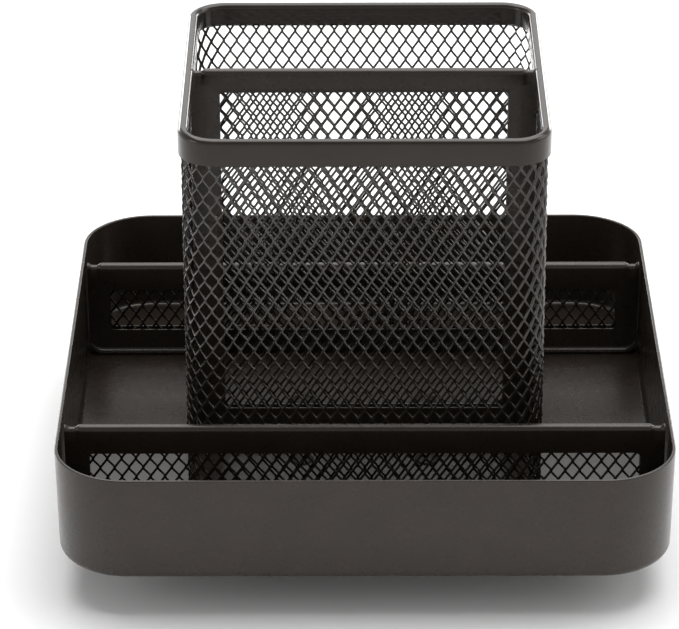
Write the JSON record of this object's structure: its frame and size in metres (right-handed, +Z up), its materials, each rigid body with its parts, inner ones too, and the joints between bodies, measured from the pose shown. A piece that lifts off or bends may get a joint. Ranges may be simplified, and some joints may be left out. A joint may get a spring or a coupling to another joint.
{
  "type": "desk organizer",
  "caption": "Square rotating desk organizer: a sheet-steel tray with mesh-windowed dividers round a tall square mesh pen cup, on a low ball-bearing turntable base.",
  "frame": {"origin": "centre of the footprint, on the surface that the organizer stands on", "axes": "+Z is up, along the turntable's axis; +X is to the right, along the tray's dividers; the front faces -Y"},
  "size_m": [0.16, 0.16, 0.1196],
  "materials": {
    "black_powder_coat": "semi-gloss black powder coat on steel",
    "zinc_plate": "dull zinc plating on pressed steel",
    "bearing_steel": "polished bearing steel",
    "nylon": "natural moulded nylon",
    "rubber": "matt black rubber"
  },
  "bodies": {
    "turntable_base": {"base_plate": "zinc_plate", "pivot_rivet": "zinc_plate", "pivot_washer": "nylon", "rubber_foot_1": "rubber", "rubber_foot_2": "rubber", "rubber_foot_3": "rubber", "rubber_foot_4": "rubber"},
    "ball_ring": {"ball_cage": "nylon", "bearing_ball_01": "bearing_steel", "bearing_ball_02": "bearing_steel", "bearing_ball_03": "bearing_steel", "bearing_ball_04": "bearing_steel", "bearing_ball_05": "bearing_steel", "bearing_ball_06": "bearing_steel", "bearing_ball_07": "bearing_steel", "bearing_ball_08": "bearing_steel", "bearing_ball_09": "bearing_steel", "bearing_ball_10": "bearing_steel", "bearing_ball_11": "bearing_steel", "bearing_ball_12": "bearing_steel"},
    "organizer": {"tray_pan": "black_powder_coat", "front_divider_frame": "black_powder_coat", "front_divider_mesh": "black_powder_coat", "rear_divider_frame": "black_powder_coat", "rear_divider_mesh": "black_powder_coat", "cup_mesh": "black_powder_coat", "cup_rim": "black_powder_coat", "cup_divider_frame": "black_powder_coat", "cup_divider_mesh": "black_powder_coat", "turntable_top_plate": "zinc_plate", "tray_rivet_1": "black_powder_coat", "tray_rivet_2": "black_powder_coat", "tray_rivet_3": "black_powder_coat", "tray_rivet_4": "black_powder_coat"}
  },
  "joints": [
    {"name": "organizer_turn", "type": "hinge", "parent": "turntable_base", "child": "organizer", "pos_m": [0, 0, 0.007], "axis": [0, 0, 1], "continuous": true},
    {"name": "ball_ring_turn", "type": "hinge", "parent": "turntable_base", "child": "ball_ring", "pos_m": [0, 0, 0.007], "axis": [0, 0, 1], "continuous": true}
  ],
  "couplings": [
    {"joint": "ball_ring_turn", "follows": "organizer_turn", "ratio": 0.5}
  ]
}
